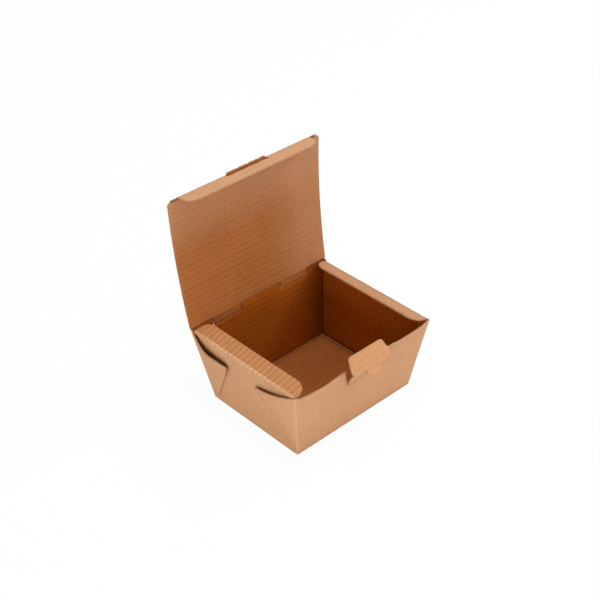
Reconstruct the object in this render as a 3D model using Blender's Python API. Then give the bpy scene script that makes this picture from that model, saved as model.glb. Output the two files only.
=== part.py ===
"""Takeaway box of folded kraft corrugated board, standing open with its lid leaning back.

Axes: X along the hinge of the lid, Y from the front wall (negative) to the lid hinge (positive), Z up.
The origin is the middle of the underside of the floor. Units are metres.
"""

import math

import bmesh
import bpy
from mathutils import Vector

MM = 0.001

# Board and the play between cut edges
board = 1.5 * MM
play = 0.3 * MM
overreach = 4.0 * MM
nose_steps = 10
arc_steps = 8

# Tray
base_width = 113.0 * MM
base_depth = 91.0 * MM
wall_spread = 10.0 * MM
rim_height = 61.4 * MM
fold_radius = 1.4 * MM
fold_segments = 3

# Front wall: its top edge dips between each corner and the window, given as way in from the corner and way down
dip_shares = (
    (0.0, 0.0),
    (0.05, 0.33),
    (0.12, 0.52),
    (0.22, 0.72),
    (0.35, 0.88),
    (0.50, 0.98),
    (0.62, 1.0),
    (0.75, 0.93),
    (0.87, 0.78),
    (1.0, 0.66),
)
dip_depth = 5.4 * MM
dip_inner_half = 19.5 * MM

# Hinge of the lid and the two stubs of lid board that hang in the back wall
lid_lean = math.radians(4.8)
lid_length = 102.5 * MM
lid_hinge_half = 66.6 * MM
lid_front_half = 70.0 * MM
lid_bow = 2.5 * MM
lid_bow_steps = 12
lid_corner_drop = 1.3 * MM
lid_corner_inset = 1.4 * MM
stub_inner = 20.0 * MM
stub_outer = 46.0 * MM
stub_taper = 2.0 * MM
stub_length = 6.6 * MM
stub_root = 1.2 * MM
stub_hole_depth = 5.9 * MM

# Plates joined into a board are a little thinner than it, so that no two faces lie in one plane
plate_gap = 0.05 * MM
plate_half = board / 2 - plate_gap

# Slot at the fold of the lid
slot_half_width = 18.2 * MM
slot_taper = 0.6 * MM
strip_reach = 1.4 * MM
strip_root = 3.0 * MM
slot_opening = 1.7 * MM

# Lip of the lid
lip_width = 13.6 * MM
lip_root_half = 67.2 * MM
lip_neck_half = 60.9 * MM
lip_square_depth = 0.7 * MM
lip_neck_depth = 1.9 * MM
lip_side_half = 60.2 * MM
lip_side_depth = 6.6 * MM
lip_round_length = 12.5 * MM

# End flaps
flap_width = 11.2 * MM
flap_back_end = 52.6 * MM
flap_front_end = 53.2 * MM
flap_round = 9.5 * MM
flap_rise = math.radians(16.0)
flap_axis_drop = 1.9 * MM
flap_heel = 0.2 * MM
flap_lift = 0.15 * MM
panel_drop = 2.6 * MM

# Glued corner flaps, outlined in the plane of the end wall: way in from the corner, way down from the rim
back_gusset_shares = (
    (0.0, 0.0),
    (0.10, 0.34),
    (0.20, 0.66),
    (0.36, 0.88),
    (0.55, 0.97),
    (0.96, 1.0),
    (1.0, 1.14),
)
back_gusset_length = 33.0 * MM
back_gusset_drop = 14.6 * MM
back_gusset_foot = 3.0 * MM
front_gusset_shares = (
    (0.0, 0.0),
    (0.16, 0.26),
    (0.34, 0.50),
    (0.56, 0.74),
    (0.78, 0.92),
    (0.97, 1.05),
    (1.0, 1.18),
)
front_gusset_length = 41.0 * MM
front_gusset_drop = 14.6 * MM
front_gusset_foot = 2.0 * MM

# Lock tab of the front wall: depths from the rim, and its reach out from the rim
tab_window_depth = 18.0 * MM
tab_window_foot_half = 14.1 * MM
tab_window_top_half = 18.6 * MM
tab_foot_half = 13.6 * MM
tab_crease_half = 17.8 * MM
tab_crease_reach = 6.8 * MM
tab_crease_drop = 3.3 * MM
tab_foot_sink = 0.6 * MM
tab_lean = math.radians(37.0)
tab_length = 13.3 * MM
tab_shoulder_half = 18.6 * MM
tab_shoulder_height = 2.4 * MM
tab_side_half = 18.0 * MM
tab_side_height = 5.6 * MM
tab_top_half = 14.0 * MM
tab_round = 2.6 * MM
tab_round_start = 20.0
tongue_half = 6.8 * MM
tongue_length = 7.4 * MM

wall_slope = math.atan2(wall_spread, rim_height)
wall_thickness = board / math.cos(wall_slope)
lid_axis_y = base_depth / 2 + wall_spread - wall_thickness / 2
lid_axis_z = rim_height + board / 2 + play
flap_axis_z = rim_height - flap_axis_drop
tab_cut_height = rim_height - tab_window_depth
tab_crease_y = -(base_depth / 2 + wall_spread + tab_crease_reach)
tab_crease_z = rim_height - tab_crease_drop


# Clearing the scene and the collections
for old in list(bpy.data.objects):
    bpy.data.objects.remove(old, do_unlink=True)

parts = bpy.data.collections.new("Takeaway box")
helpers = bpy.data.collections.new("Cutters")
helpers.hide_render = True
bpy.context.scene.collection.children.link(parts)
bpy.context.scene.collection.children.link(helpers)


def kraft(name, colour, roughness):
    """A plain material of brown board."""
    material = bpy.data.materials.new(name)
    material.use_nodes = True
    shader = material.node_tree.nodes["Principled BSDF"]
    shader.inputs["Base Color"].default_value = (*colour, 1.0)
    shader.inputs["Roughness"].default_value = roughness
    shader.inputs["Metallic"].default_value = 0.0
    material.diffuse_color = (*colour, 1.0)
    return material


def wall_x(z):
    """Half width across the outside of the corner flaps at height z."""
    return base_width / 2 + wall_spread * z / rim_height


def wall_y(z):
    """Half depth across the outside of the front and back walls at height z."""
    return base_depth / 2 + wall_spread * z / rim_height


def add_object(name, mesh_data, collection):
    """Links a finished bmesh as an object with its normals outward."""
    bmesh.ops.recalc_face_normals(mesh_data, faces=mesh_data.faces)
    mesh = bpy.data.meshes.new(name)
    mesh_data.to_mesh(mesh)
    mesh_data.free()
    made = bpy.data.objects.new(name, mesh)
    collection.objects.link(made)
    if collection is helpers:
        made.hide_render = True
        made.display_type = "WIRE"
    return made


def prism(name, near_ring, far_ring, collection=helpers):
    """A solid between two rings of matching points."""
    work = bmesh.new()
    near = [work.verts.new(point) for point in near_ring]
    far = [work.verts.new(point) for point in far_ring]
    work.faces.new(near)
    work.faces.new(list(reversed(far)))
    count = len(near)
    for i in range(count):
        j = (i + 1) % count
        work.faces.new((near[i], far[i], far[j], near[j]))
    return add_object(name, work, collection)


def frustum(name, foot, top, bottom, height, radius, collection):
    """A box that widens upwards, its upright and lower edges rounded where a radius is given."""
    work = bmesh.new()
    bmesh.ops.create_cube(work, size=2.0)
    for vert in work.verts:
        half, level = (top, height) if vert.co.z > 0 else (foot, bottom)
        vert.co = Vector((vert.co.x * half[0], vert.co.y * half[1], level))
    if radius:
        folds = [edge for edge in work.edges if min(vert.co.z for vert in edge.verts) < height]
        bmesh.ops.bevel(work, geom=folds, offset=radius, segments=fold_segments, profile=0.5, affect="EDGES")
    return add_object(name, work, collection)


def block(name, low, high):
    """An upright box cutter between two corners."""
    work = bmesh.new()
    bmesh.ops.create_cube(work, size=1.0)
    for vert in work.verts:
        share = vert.co + Vector((0.5, 0.5, 0.5))
        vert.co = Vector([low[i] + (high[i] - low[i]) * share[i] for i in range(3)])
    return add_object(name, work, helpers)


def combine(target, operation, other):
    """One live Boolean on a piece."""
    step = target.modifiers.new(other.name, "BOOLEAN")
    step.operation = operation
    step.solver = "EXACT"
    step.object = other


def arc(centre_x, centre_y, radius_x, radius_y, start, end):
    """Points of an ellipse between two angles in degrees."""
    points = []
    for i in range(arc_steps + 1):
        angle = math.radians(start + (end - start) * i / arc_steps)
        points.append((centre_x + radius_x * math.cos(angle), centre_y + radius_y * math.sin(angle)))
    return points


def nose(radius):
    """Half circle that ends a board at its hinge, from its lower face round to its upper face."""
    points = []
    for i in range(nose_steps + 1):
        angle = math.radians(270.0 - 180.0 * i / nose_steps)
        points.append((radius * math.cos(angle), radius * math.sin(angle)))
    return points


def place(moved, location):
    """Puts the origin of a piece on its joint axis."""
    moved.location = location


outer_board = kraft("Kraft outside", (0.50, 0.27, 0.14), 0.85)
lid_board = kraft("Kraft lid", (0.46, 0.23, 0.11), 0.85)
lip_board = kraft("Kraft lip", (0.49, 0.26, 0.14), 0.85)
left_board = kraft("Kraft left flap", (0.47, 0.24, 0.11), 0.85)
right_board = kraft("Kraft right flap", (0.48, 0.25, 0.12), 0.85)
tab_board = kraft("Kraft tab", (0.51, 0.28, 0.15), 0.85)


# Tray: floor, walls and glued corner flaps
shell_foot = (base_width / 2, base_depth / 2)
shell_top = (shell_foot[0] + wall_spread, shell_foot[1] + wall_spread)
tray = frustum("tray", shell_foot, shell_top, 0.0, rim_height, fold_radius, parts)
tray.data.materials.append(outer_board)

# Hollow: the end walls are two boards thick at the corner flaps, the others one
floor_lift = board * wall_spread / rim_height
over_lift = overreach * wall_spread / rim_height
walls = (2 * wall_thickness, wall_thickness)
hollow_foot = [shell_foot[i] - walls[i] + floor_lift for i in range(2)]
hollow_top = [shell_top[i] - walls[i] + over_lift for i in range(2)]
hollow = frustum("hollow", hollow_foot, hollow_top, board, rim_height + overreach, 0.0, helpers)
combine(tray, "DIFFERENCE", hollow)


def corner_flap_edge(shares, length, drop, foot):
    """Free edge of one glued corner flap as Y and Z, from the rim at the corner round to the floor."""
    edge = []
    for along, down in shares:
        height = rim_height - drop * down
        edge.append((wall_y(height) - length * along, height))
    edge.append((wall_y(0.0) - foot, 0.0))
    return edge


# Recess of each end panel: what the four glued corner flaps leave uncovered
front_edge = corner_flap_edge(front_gusset_shares, front_gusset_length, front_gusset_drop, front_gusset_foot)
back_edge = corner_flap_edge(back_gusset_shares, back_gusset_length, back_gusset_drop, back_gusset_foot)
recess_outline = [(-front_edge[-1][0], -overreach)]
recess_outline += [(-y, z) for y, z in reversed(front_edge)]
recess_outline += [(-front_edge[0][0], rim_height + overreach), (back_edge[0][0], rim_height + overreach)]
recess_outline += back_edge
recess_outline.append((back_edge[-1][0], -overreach))
for side, side_name in ((-1, "left"), (1, "right")):
    recess = prism(
        f"end recess {side_name}",
        [(side * (wall_x(z) - wall_thickness), y, z) for y, z in recess_outline],
        [(side * (wall_x(z) + overreach), y, z) for y, z in recess_outline],
    )
    combine(tray, "DIFFERENCE", recess)


# Rim of the tray: end panels lower than the corners, front wall dipping between its corners
rim_top = rim_height + overreach
for side, side_name in ((-1, "left"), (1, "right")):
    inner = side * (wall_x(rim_height) - wall_thickness * 4)
    outer = side * (wall_x(rim_height) - wall_thickness)
    low = (min(inner, outer), wall_thickness - wall_y(rim_height), rim_height - panel_drop)
    high = (max(inner, outer), wall_y(rim_height) - wall_thickness, rim_top)
    combine(tray, "DIFFERENCE", block(f"end rim {side_name}", low, high))

dip_reach = wall_x(rim_height) - wall_thickness - dip_inner_half
dip = [(dip_inner_half + dip_reach, rim_top)]
for inward, down in dip_shares:
    dip.append((dip_inner_half + dip_reach * (1 - inward), rim_height - dip_depth * down))
dip_outline = dip + [(-x, z) for x, z in reversed(dip)]
dip_back = wall_thickness * 2 - wall_y(rim_height)
dip_front = -wall_y(rim_height) - overreach
front_dip = prism(
    "front dip",
    [(x, dip_back, z) for x, z in dip_outline],
    [(x, dip_front, z) for x, z in dip_outline],
)
combine(tray, "DIFFERENCE", front_dip)

# Holes that the stubs of the lid leave in the back wall
for side, side_name in ((-1, "left"), (1, "right")):
    ends = sorted((side * (stub_inner - play), side * (stub_outer + play)))
    low = (ends[0], wall_y(0.0), rim_height - stub_hole_depth)
    high = (ends[1], wall_y(rim_height) + overreach, rim_top)
    combine(tray, "DIFFERENCE", block(f"stub hole {side_name}", low, high))

# Window that the lock tab leaves in the front wall
window = [
    (-tab_window_foot_half, tab_cut_height),
    (tab_window_foot_half, tab_cut_height),
    (tab_window_top_half, rim_top),
    (-tab_window_top_half, rim_top),
]
tab_window = prism(
    "tab window",
    [(x, dip_back, z) for x, z in window],
    [(x, dip_front, z) for x, z in window],
)
combine(tray, "DIFFERENCE", tab_window)

# Foot of the lock tab, leaning out from the bottom of the window
foot_y = wall_thickness / 2 - wall_y(tab_cut_height)
foot_slope = math.atan2(foot_y - tab_crease_y, tab_crease_z - tab_cut_height)
foot_length = math.hypot(foot_y - tab_crease_y, tab_crease_z - tab_cut_height) - board / 2 - play


def tab_foot_point(x, along, across):
    """A point of the foot: along from its root upwards, across towards the outside."""
    y = foot_y - along * math.sin(foot_slope) - across * math.cos(foot_slope)
    z = tab_cut_height + along * math.cos(foot_slope) - across * math.sin(foot_slope)
    return (x, y, z)


# Right half of the foot from its crease down, round the hole that the tongue of the tab leaves
foot_half = [(tab_foot_half, -tab_foot_sink), (tab_crease_half, foot_length)]
foot_half += arc(0.0, foot_length, tongue_half + play, tongue_length - board / 2, 0, -90)
foot_outline = foot_half + [(-x, along) for x, along in reversed(foot_half[:-1])]
tab_foot = prism(
    "tab foot",
    [tab_foot_point(x, along, -board / 2) for x, along in foot_outline],
    [tab_foot_point(x, along, board / 2) for x, along in foot_outline],
)
combine(tray, "UNION", tab_foot)


# Lid: a bowed panel that leans back from its hinge, hollow side to the front
def lid_point(x, along, front):
    """A point of the lid at rest, measured from its axis: along the chord and towards the front."""
    y = along * math.sin(lid_lean) - front * math.cos(lid_lean)
    z = along * math.cos(lid_lean) + front * math.sin(lid_lean)
    return (x, y, z)


def lid_half(along):
    """Half width of the lid: a little more at its front edge than at its hinge."""
    return lid_hinge_half + (lid_front_half - lid_hinge_half) * max(along, 0.0) / lid_length


def bow(along):
    """How far the lid stands behind its chord."""
    share = along / lid_length
    return 4 * lid_bow * share * (1 - share)


lid_end = lid_length - board / 2 - play
lid_profile = []
for i in range(1, lid_bow_steps + 1):
    along = lid_end * i / lid_bow_steps
    lid_profile.append((along, board / 2 - bow(along)))
for i in range(lid_bow_steps, 0, -1):
    along = lid_end * i / lid_bow_steps
    lid_profile.append((along, -board / 2 - bow(along)))
lid_profile.extend(nose(board / 2))
lid = prism(
    "lid",
    [lid_point(-lid_half(along), along, front) for along, front in lid_profile],
    [lid_point(lid_half(along), along, front) for along, front in lid_profile],
    parts,
)
lid.data.materials.append(lid_board)
place(lid, (0.0, lid_axis_y, lid_axis_z))


def lid_plate(name, outline, front_low, front_high):
    """A flat plate in the frame of the lid, from an outline of X and the way along the chord."""
    plate = prism(
        name,
        [lid_point(x, along, front_low) for x, along in outline],
        [lid_point(x, along, front_high) for x, along in outline],
    )
    place(plate, (0.0, lid_axis_y, lid_axis_z))
    return plate


for side, side_name in ((-1, "left"), (1, "right")):
    stub_outline = [
        (side * stub_inner, stub_root),
        (side * stub_outer, stub_root),
        (side * stub_outer, 0.0),
        (side * (stub_outer - stub_taper), -stub_length),
        (side * (stub_inner + stub_taper), -stub_length),
        (side * stub_inner, 0.0),
    ]
    combine(lid, "UNION", lid_plate(f"stub {side_name}", stub_outline, -plate_half, plate_half))
    corner_outline = [
        (side * (lid_front_half - lid_corner_inset), lid_end + overreach),
        (side * (lid_front_half - lid_corner_inset), lid_end),
        (side * lid_front_half, lid_end - lid_corner_drop),
        (side * (lid_front_half + overreach), lid_end - lid_corner_drop - overreach),
        (side * (lid_front_half + overreach), lid_end + overreach),
    ]
    combine(lid, "DIFFERENCE", lid_plate(f"lid corner {side_name}", corner_outline, -overreach, overreach))

strip_end = lid_length + board / 2 + strip_reach
strip_outline = [
    (-slot_half_width, lid_end - strip_root),
    (slot_half_width, lid_end - strip_root),
    (slot_half_width, lid_end),
    (slot_half_width - slot_taper, strip_end),
    (slot_taper - slot_half_width, strip_end),
    (-slot_half_width, lid_end),
]
strip_set_back = bow(lid_end - strip_root) / 2
strip = lid_plate("slot strip", strip_outline, -board / 2 - strip_set_back / 2, board / 2 - strip_set_back)
combine(lid, "UNION", strip)


# Lip of the lid: stands forward from the end of the lid, its axis in the inner corner of the fold
lip_axis_along = lid_length - board / 2
lip_axis_front = board / 2
lip_axis = lid_point(0.0, lip_axis_along, lip_axis_front)
lip_location = (0.0, lid_axis_y + lip_axis[1], lid_axis_z + lip_axis[2])


def lip_point(x, outward, forward):
    """A point of the lip from its axis: through its thickness and away from the outer face of the lid."""
    point = lid_point(x, lip_axis_along + outward, forward - board / 2)
    return (x, point[1] - lip_axis[1], point[2] - lip_axis[2])


lip_half = [
    (slot_half_width + play, 0.0),
    (lip_root_half, 0.0),
    (lip_root_half, lip_square_depth),
    (lip_neck_half, lip_neck_depth),
    (lip_side_half, lip_side_depth),
]
lip_rise = lip_width - lip_side_depth
lip_half += arc(lip_side_half - lip_round_length, lip_side_depth, lip_round_length, lip_rise, 0, 90)[1:]
slot_floor = board + slot_opening
lip_outline = [(slot_half_width - slot_taper, slot_floor)] + lip_half
lip_outline += [(-x, forward) for x, forward in reversed(lip_outline)]
lid_lip = prism(
    "lid_lip",
    [lip_point(x, 0.0, forward) for x, forward in lip_outline],
    [lip_point(x, board, forward) for x, forward in lip_outline],
    parts,
)
lid_lip.data.materials.append(lip_board)
place(lid_lip, lip_location)


# End flaps: fold inwards from the inner edge of the end panels
flap_axis_x = wall_x(flap_axis_z) - 2 * wall_thickness


def flap_point(side, inward, up, y):
    """A point of an end flap at rest from its axis: inward along the flap and up through its thickness."""
    x = inward * math.cos(flap_rise) - up * math.sin(flap_rise)
    z = inward * math.sin(flap_rise) + up * math.cos(flap_rise)
    return (-side * x, y, z)


flap_outline = [(-flap_heel, -flap_front_end), (0.0, -flap_front_end)]
flap_outline += arc(flap_width - flap_round, flap_round - flap_front_end, flap_round, flap_round, -90, 0)
flap_outline += arc(flap_width - flap_round, flap_back_end - flap_round, flap_round, flap_round, 0, 90)
flap_outline += [(0.0, flap_back_end), (-flap_heel, flap_back_end)]
for side, name, material in ((-1, "left_end_flap", left_board), (1, "right_end_flap", right_board)):
    near = [flap_point(side, max(inward, 0.0), flap_lift, y) for inward, y in flap_outline]
    far = [flap_point(side, inward, flap_lift + board, y) for inward, y in flap_outline]
    flap = prism(name, near, far, parts)
    flap.data.materials.append(material)
    place(flap, (side * flap_axis_x, 0.0, flap_axis_z))


# Lock tab: leans inwards from the crease at the top of its foot
def tab_point(x, up, inward):
    """A point of the lock tab at rest from its axis: up along the tab and inward through its thickness."""
    y = up * math.sin(tab_lean) + inward * math.cos(tab_lean)
    z = up * math.cos(tab_lean) - inward * math.sin(tab_lean)
    return (x, y, z)


tab_half = [
    (tab_crease_half, 0.0),
    (tab_shoulder_half, tab_shoulder_height),
    (tab_side_half, tab_side_height),
]
tab_half += arc(tab_top_half, tab_length - tab_round, tab_round, tab_round, tab_round_start, 90)
right_side = arc(0.0, 0.0, tongue_half, tongue_length, 270, 360) + tab_half
tab_outline = right_side + [(-x, up) for x, up in reversed(right_side[1:])]
lock_tab = prism(
    "lock_tab",
    [tab_point(x, up, -board / 2) for x, up in tab_outline],
    [tab_point(x, up, board / 2) for x, up in tab_outline],
    parts,
)
lock_tab.data.materials.append(tab_board)
place(lock_tab, (0.0, tab_crease_y, tab_crease_z))

# Rounded edge of the tab along its crease
roll_half = tab_crease_half - play / 2
roll_profile = nose(plate_half) + [(plate_half, plate_half), (plate_half, -plate_half)]
roll = prism(
    "crease roll",
    [tab_point(-roll_half, up, inward) for up, inward in roll_profile],
    [tab_point(roll_half, up, inward) for up, inward in roll_profile],
)
place(roll, (0.0, tab_crease_y, tab_crease_z))
combine(lock_tab, "UNION", roll)
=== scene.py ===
"""Looks of a takeaway box folded from one sheet of brown kraft corrugated board.

Every board is a pair of liners worked out on a grid, joined by cut edges that show the fluted layer between them.
Lengths are in millimetres until a mesh is made. X runs along the hinge, Y from the front wall to the back wall, Z up.
"""

import math

import bpy
import numpy as np
from mathutils import Matrix, Vector


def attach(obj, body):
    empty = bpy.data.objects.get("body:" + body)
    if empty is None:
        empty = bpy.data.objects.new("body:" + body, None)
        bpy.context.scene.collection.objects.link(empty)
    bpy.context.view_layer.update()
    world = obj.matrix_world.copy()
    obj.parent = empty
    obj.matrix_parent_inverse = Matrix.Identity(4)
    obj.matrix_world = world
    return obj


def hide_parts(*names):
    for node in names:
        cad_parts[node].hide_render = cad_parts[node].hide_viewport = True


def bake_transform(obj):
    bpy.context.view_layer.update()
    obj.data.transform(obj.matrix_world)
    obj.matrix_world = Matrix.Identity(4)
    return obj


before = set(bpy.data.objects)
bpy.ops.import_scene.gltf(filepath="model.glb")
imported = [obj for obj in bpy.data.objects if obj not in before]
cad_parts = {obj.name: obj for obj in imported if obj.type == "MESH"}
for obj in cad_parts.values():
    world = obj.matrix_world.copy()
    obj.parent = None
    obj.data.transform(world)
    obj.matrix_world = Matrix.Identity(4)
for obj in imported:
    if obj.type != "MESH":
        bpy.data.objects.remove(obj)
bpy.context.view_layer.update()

MM = 0.001

# Sizes shared with the solids
board = 1.5
half_board = board / 2
play = 0.3
base_width, base_depth = 113.0, 91.0
wall_spread, rim_height = 10.0, 61.4
wall_lean = math.atan2(wall_spread, rim_height)
wall_thick = board / math.cos(wall_lean)
lid_lean = math.radians(4.8)
lid_length, lid_bow = 102.5, 2.5
lid_hinge_half, lid_front_half = 66.6, 70.0
lid_corner_drop, lid_corner_inset = 1.3, 1.4
lid_axis_y = base_depth / 2 + wall_spread - wall_thick / 2
lid_axis_z = rim_height + half_board + play
lip_width, lip_side_depth, lip_round_length = 13.6, 6.6, 12.5
panel_drop = 2.6
flap_width, flap_round = 11.2, 9.5
flap_front_end, flap_back_end = -53.2, 52.6
flap_rise = math.radians(16.0)
flap_axis_z = rim_height - 1.9
flap_axis_x = base_width / 2 + wall_spread * flap_axis_z / rim_height - 2 * wall_thick
tab_crease_y, tab_crease_z, tab_crease_half = -62.3, 58.1, 17.8
tab_lean = math.radians(37.0)
tab_straight, tab_round = 10.7, 2.6
tongue_half, tongue_length = 6.8, 7.4

# Corrugation: one flute every few millimetres, all of them running along X in the flat sheet
flute_pitch = 4.5

# Camera, from the fit of the box's corners in the photograph
azimuth, elevation, roll = math.radians(-41.94), math.radians(35.23), math.radians(-1.61)
aim, distance = np.array([-0.00951, 0.0, 0.08678]), 0.889
focal_length, picture_width = 1268.0, 600.0
sensor_width = 36.0
level_part = math.cos(elevation)
back = np.array([math.sin(azimuth) * level_part, -math.cos(azimuth) * level_part, math.sin(elevation)])
side = np.cross(-back, [0.0, 0.0, 1.0])
side /= np.linalg.norm(side)
upward = np.cross(side, -back)
camera_x = math.cos(roll) * side + math.sin(roll) * upward
camera_y = math.cos(roll) * upward - math.sin(roll) * side
camera_data = bpy.data.cameras.new("Camera")
camera_data.sensor_width = sensor_width
camera_data.lens = focal_length / picture_width * sensor_width
camera_data.clip_start, camera_data.clip_end = 0.01, 20.0
camera = bpy.data.objects.new("Camera", camera_data)
upper_rows = np.column_stack([camera_x, camera_y, back, aim + back * distance])
camera.matrix_world = Matrix(upper_rows.tolist() + [[0, 0, 0, 1]])
bpy.context.scene.collection.objects.link(camera)
bpy.context.scene.camera = camera
bpy.context.scene.view_settings.view_transform = "Standard"


def wall_x(z):
    """Half width over the corner flaps: the half width of the floor plus the spread in proportion to the height."""
    return base_width / 2 + wall_spread * z / rim_height


def wall_y(z):
    """Half depth over the front and back walls: the half depth of the floor plus the spread in proportion to height."""
    return base_depth / 2 + wall_spread * z / rim_height


def ease(value):
    """Smooth step from 0 to 1: three times the square less twice the cube."""
    value = np.clip(value, 0.0, 1.0)
    return value * value * (3 - 2 * value)


def bell(distance, width):
    """Smooth bump of height 1: the exponential of minus the square of distance over width."""
    return np.exp(-((distance / width) ** 2))


def elliptic(share):
    """How much of a rounding is cut off at a share of its way: 1 less the quarter circle's height there."""
    return 1 - (1 - share**2) ** 0.5


def steps(start, end, spacing):
    """Evenly spaced stations between two places, no further apart than the spacing."""
    count = max(1, math.ceil(abs(end - start) / spacing))
    return np.linspace(start, end, count + 1)


def stations(*runs):
    """Several runs of stations, each (start, end, spacing), joined end to end."""
    joined = [steps(*run) for run in runs]
    return np.concatenate([joined[0]] + [run[1:] for run in joined[1:]])


def facing(points):
    """Unit normal of a grid of points: the cross product of its steps along the rows and along the columns."""
    along = np.gradient(points, axis=0)
    across = np.gradient(points, axis=1)
    normal = np.cross(along, across)
    return normal / np.maximum(np.linalg.norm(normal, axis=2, keepdims=True), 1e-9)


# Values kept for each point of a board: distances along and across the flutes, a pale mark for wear and painted light,
# a dark mark for creases and painted shade, how far the inner liner sinks, and thickness
RUN, CROSS, WEAR_AND_LIGHT, CREASE_AND_SHADE, SINK, THICK = range(6)

# Places of the materials of a piece
OUTER, INNER, CUT, FLOOR = range(4)

edge_layers = 5
edge_hollow = 0.10


def sheet(points, run, cross, outer, keep=None, thick=board, ripple=(0.03, 0.05), crush=0.62, paper=INNER, **marks):
    """One closed board on a grid of middle points: outer liner, inner liner and cut edges.

    Each liner lies half a board from the middle along the normal, less a ripple that follows the cosine of the
    distance across the flutes, and the inner one is pressed in by the mark named sink. The normal is turned so that
    it agrees with the direction named outer. At a cut edge both liners are crushed towards the middle, and rows
    between them, set back a little, make the edge itself. Two marks are kept for the paper: a pale one for wear and
    painted light, and a dark one for creases and painted shade. On the outer liner a painted highlight joins the pale
    mark and painted shade joins the dark one, and on the inner liner painted shade joins the dark one.
    """
    normal = facing(points)
    rows, columns = points.shape[:2]
    size = rows * columns
    turned = float((normal * np.asarray(outer, float)).sum(axis=2).mean()) < 0
    if turned:
        normal = -normal
    keep = np.ones((rows - 1, columns - 1), bool) if keep is None else keep
    index = np.arange(size).reshape(rows, columns)
    quads = np.stack([index[:-1, :-1], index[1:, :-1], index[1:, 1:], index[:-1, 1:]], axis=2)[keep]
    if turned:
        quads = quads[:, ::-1]
    edges = np.concatenate([quads[:, [k, (k + 1) % 4]] for k in range(4)])
    rim = edges[~np.isin(edges[:, 0] * size + edges[:, 1], edges[:, 1] * size + edges[:, 0])]
    rim_points = np.unique(rim)
    place = np.zeros(size, int)
    place[rim_points] = np.arange(len(rim_points))

    listed = [run, cross, marks.get("worn", 0.0), marks.get("creased", 0.0), marks.get("sink", 0.0), thick]
    values = np.stack([np.broadcast_to(value, (rows, columns)) for value in listed], axis=2).reshape(size, -1)
    wave = np.cos(2 * np.pi * values[:, CROSS] / flute_pitch)
    half = values[:, THICK] / 2
    half[rim_points] *= crush
    flat, flat_normal = points.reshape(-1, 3), normal.reshape(-1, 3)
    flat_top = flat + flat_normal * (half + ripple[0] * (wave - 1) / 2)[:, None]
    flat_low = flat - flat_normal * (half + ripple[1] * (-wave - 1) / 2 - values[:, SINK])[:, None]
    outward = np.zeros((size, 3))
    push = np.cross(flat_top[rim[:, 1]] - flat_top[rim[:, 0]], flat_normal[rim[:, 0]])
    for end in range(2):
        np.add.at(outward, rim[:, end], push)
    outward /= np.maximum(np.linalg.norm(outward, axis=1, keepdims=True), 1e-9)

    # Marks kept to one side: a painted highlight joins the pale mark on the outer liner, and painted shade joins the
    # dark mark on the outer and on the inner liner
    upper_values, lower_values = values[:, :SINK].copy(), values[:, :SINK].copy()
    for side_values, column, label in (
        (upper_values, WEAR_AND_LIGHT, "faded"),
        (upper_values, CREASE_AND_SHADE, "shaded"),
        (lower_values, CREASE_AND_SHADE, "inner_shade"),
    ):
        added = np.broadcast_to(marks.get(label, 0.0), (rows, columns)).reshape(size)
        side_values[:, column] = np.maximum(side_values[:, column], added)
    vertices = [flat_top, flat_low]
    painted = [upper_values, lower_values]
    depth = [np.zeros(size), np.ones(size)]
    for k in range(1, edge_layers):
        share = k / edge_layers
        setback = edge_hollow * values[rim_points, THICK:] / board * math.sin(math.pi * share) ** 0.5
        between = flat_top[rim_points] * (1 - share) + flat_low[rim_points] * share
        vertices.append(between - outward[rim_points] * setback)
        painted.append(values[rim_points, :SINK])
        depth.append(np.full(len(rim_points), share))
    inner_rows = [2 * size + k * len(rim_points) + place[rim] for k in range(edge_layers - 1)]
    level = [rim] + inner_rows + [rim + size]
    strips = [
        np.stack([upper[:, 0], lower[:, 0], lower[:, 1], upper[:, 1]], axis=1)
        for upper, lower in zip(level[:-1], level[1:])
    ]
    counts = (len(quads), len(quads), edge_layers * len(rim))
    return {
        "vertices": np.concatenate(vertices),
        "faces": np.concatenate([quads, quads[:, ::-1] + size] + strips),
        "kinds": np.repeat((OUTER, paper, CUT), counts),
        "painted": np.concatenate(painted),
        "depth": np.concatenate(depth),
    }


def piece(name, sheets, materials):
    """One mesh object from several boards: arrays joined end to end, with their sheet coordinates and attributes."""
    starts = np.cumsum([0] + [len(one["vertices"]) for one in sheets])
    faces = np.concatenate([one["faces"] + start for one, start in zip(sheets, starts)])
    vertices, kinds, painted, depth = [
        np.concatenate([one[key] for one in sheets]) for key in ("vertices", "kinds", "painted", "depth")
    ]
    used, faces = np.unique(faces, return_inverse=True)
    faces = faces.reshape(-1, 4)
    vertices, painted, depth = vertices[used], painted[used], depth[used]
    mesh = bpy.data.meshes.new(name)
    mesh.vertices.add(len(vertices))
    mesh.vertices.foreach_set("co", (vertices * MM).astype(np.float32).ravel())
    mesh.loops.add(faces.size)
    mesh.loops.foreach_set("vertex_index", faces.astype(np.int32).ravel())
    mesh.polygons.add(len(faces))
    mesh.polygons.foreach_set("loop_start", np.arange(0, faces.size, 4, dtype=np.int32))
    mesh.polygons.foreach_set("material_index", kinds.astype(np.int32))
    mesh.polygons.foreach_set("use_smooth", kinds != CUT)
    sheet_map = mesh.uv_layers.new(name="Sheet")
    sheet_map.data.foreach_set("uv", painted[faces.ravel(), : CROSS + 1].astype(np.float32).ravel())
    for label, value in (("Depth", depth), ("Worn", painted[:, WEAR_AND_LIGHT]), ("Creased", painted[:, CREASE_AND_SHADE])):
        attribute = mesh.attributes.new(label, "FLOAT", "POINT")
        attribute.data.foreach_set("value", value.astype(np.float32))
    mesh.update(calc_edges=True)
    mesh.validate()
    made = bpy.data.objects.new(name, mesh)
    for material in materials:
        mesh.materials.append(material)
    bpy.context.scene.collection.objects.link(made)
    return made


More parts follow.
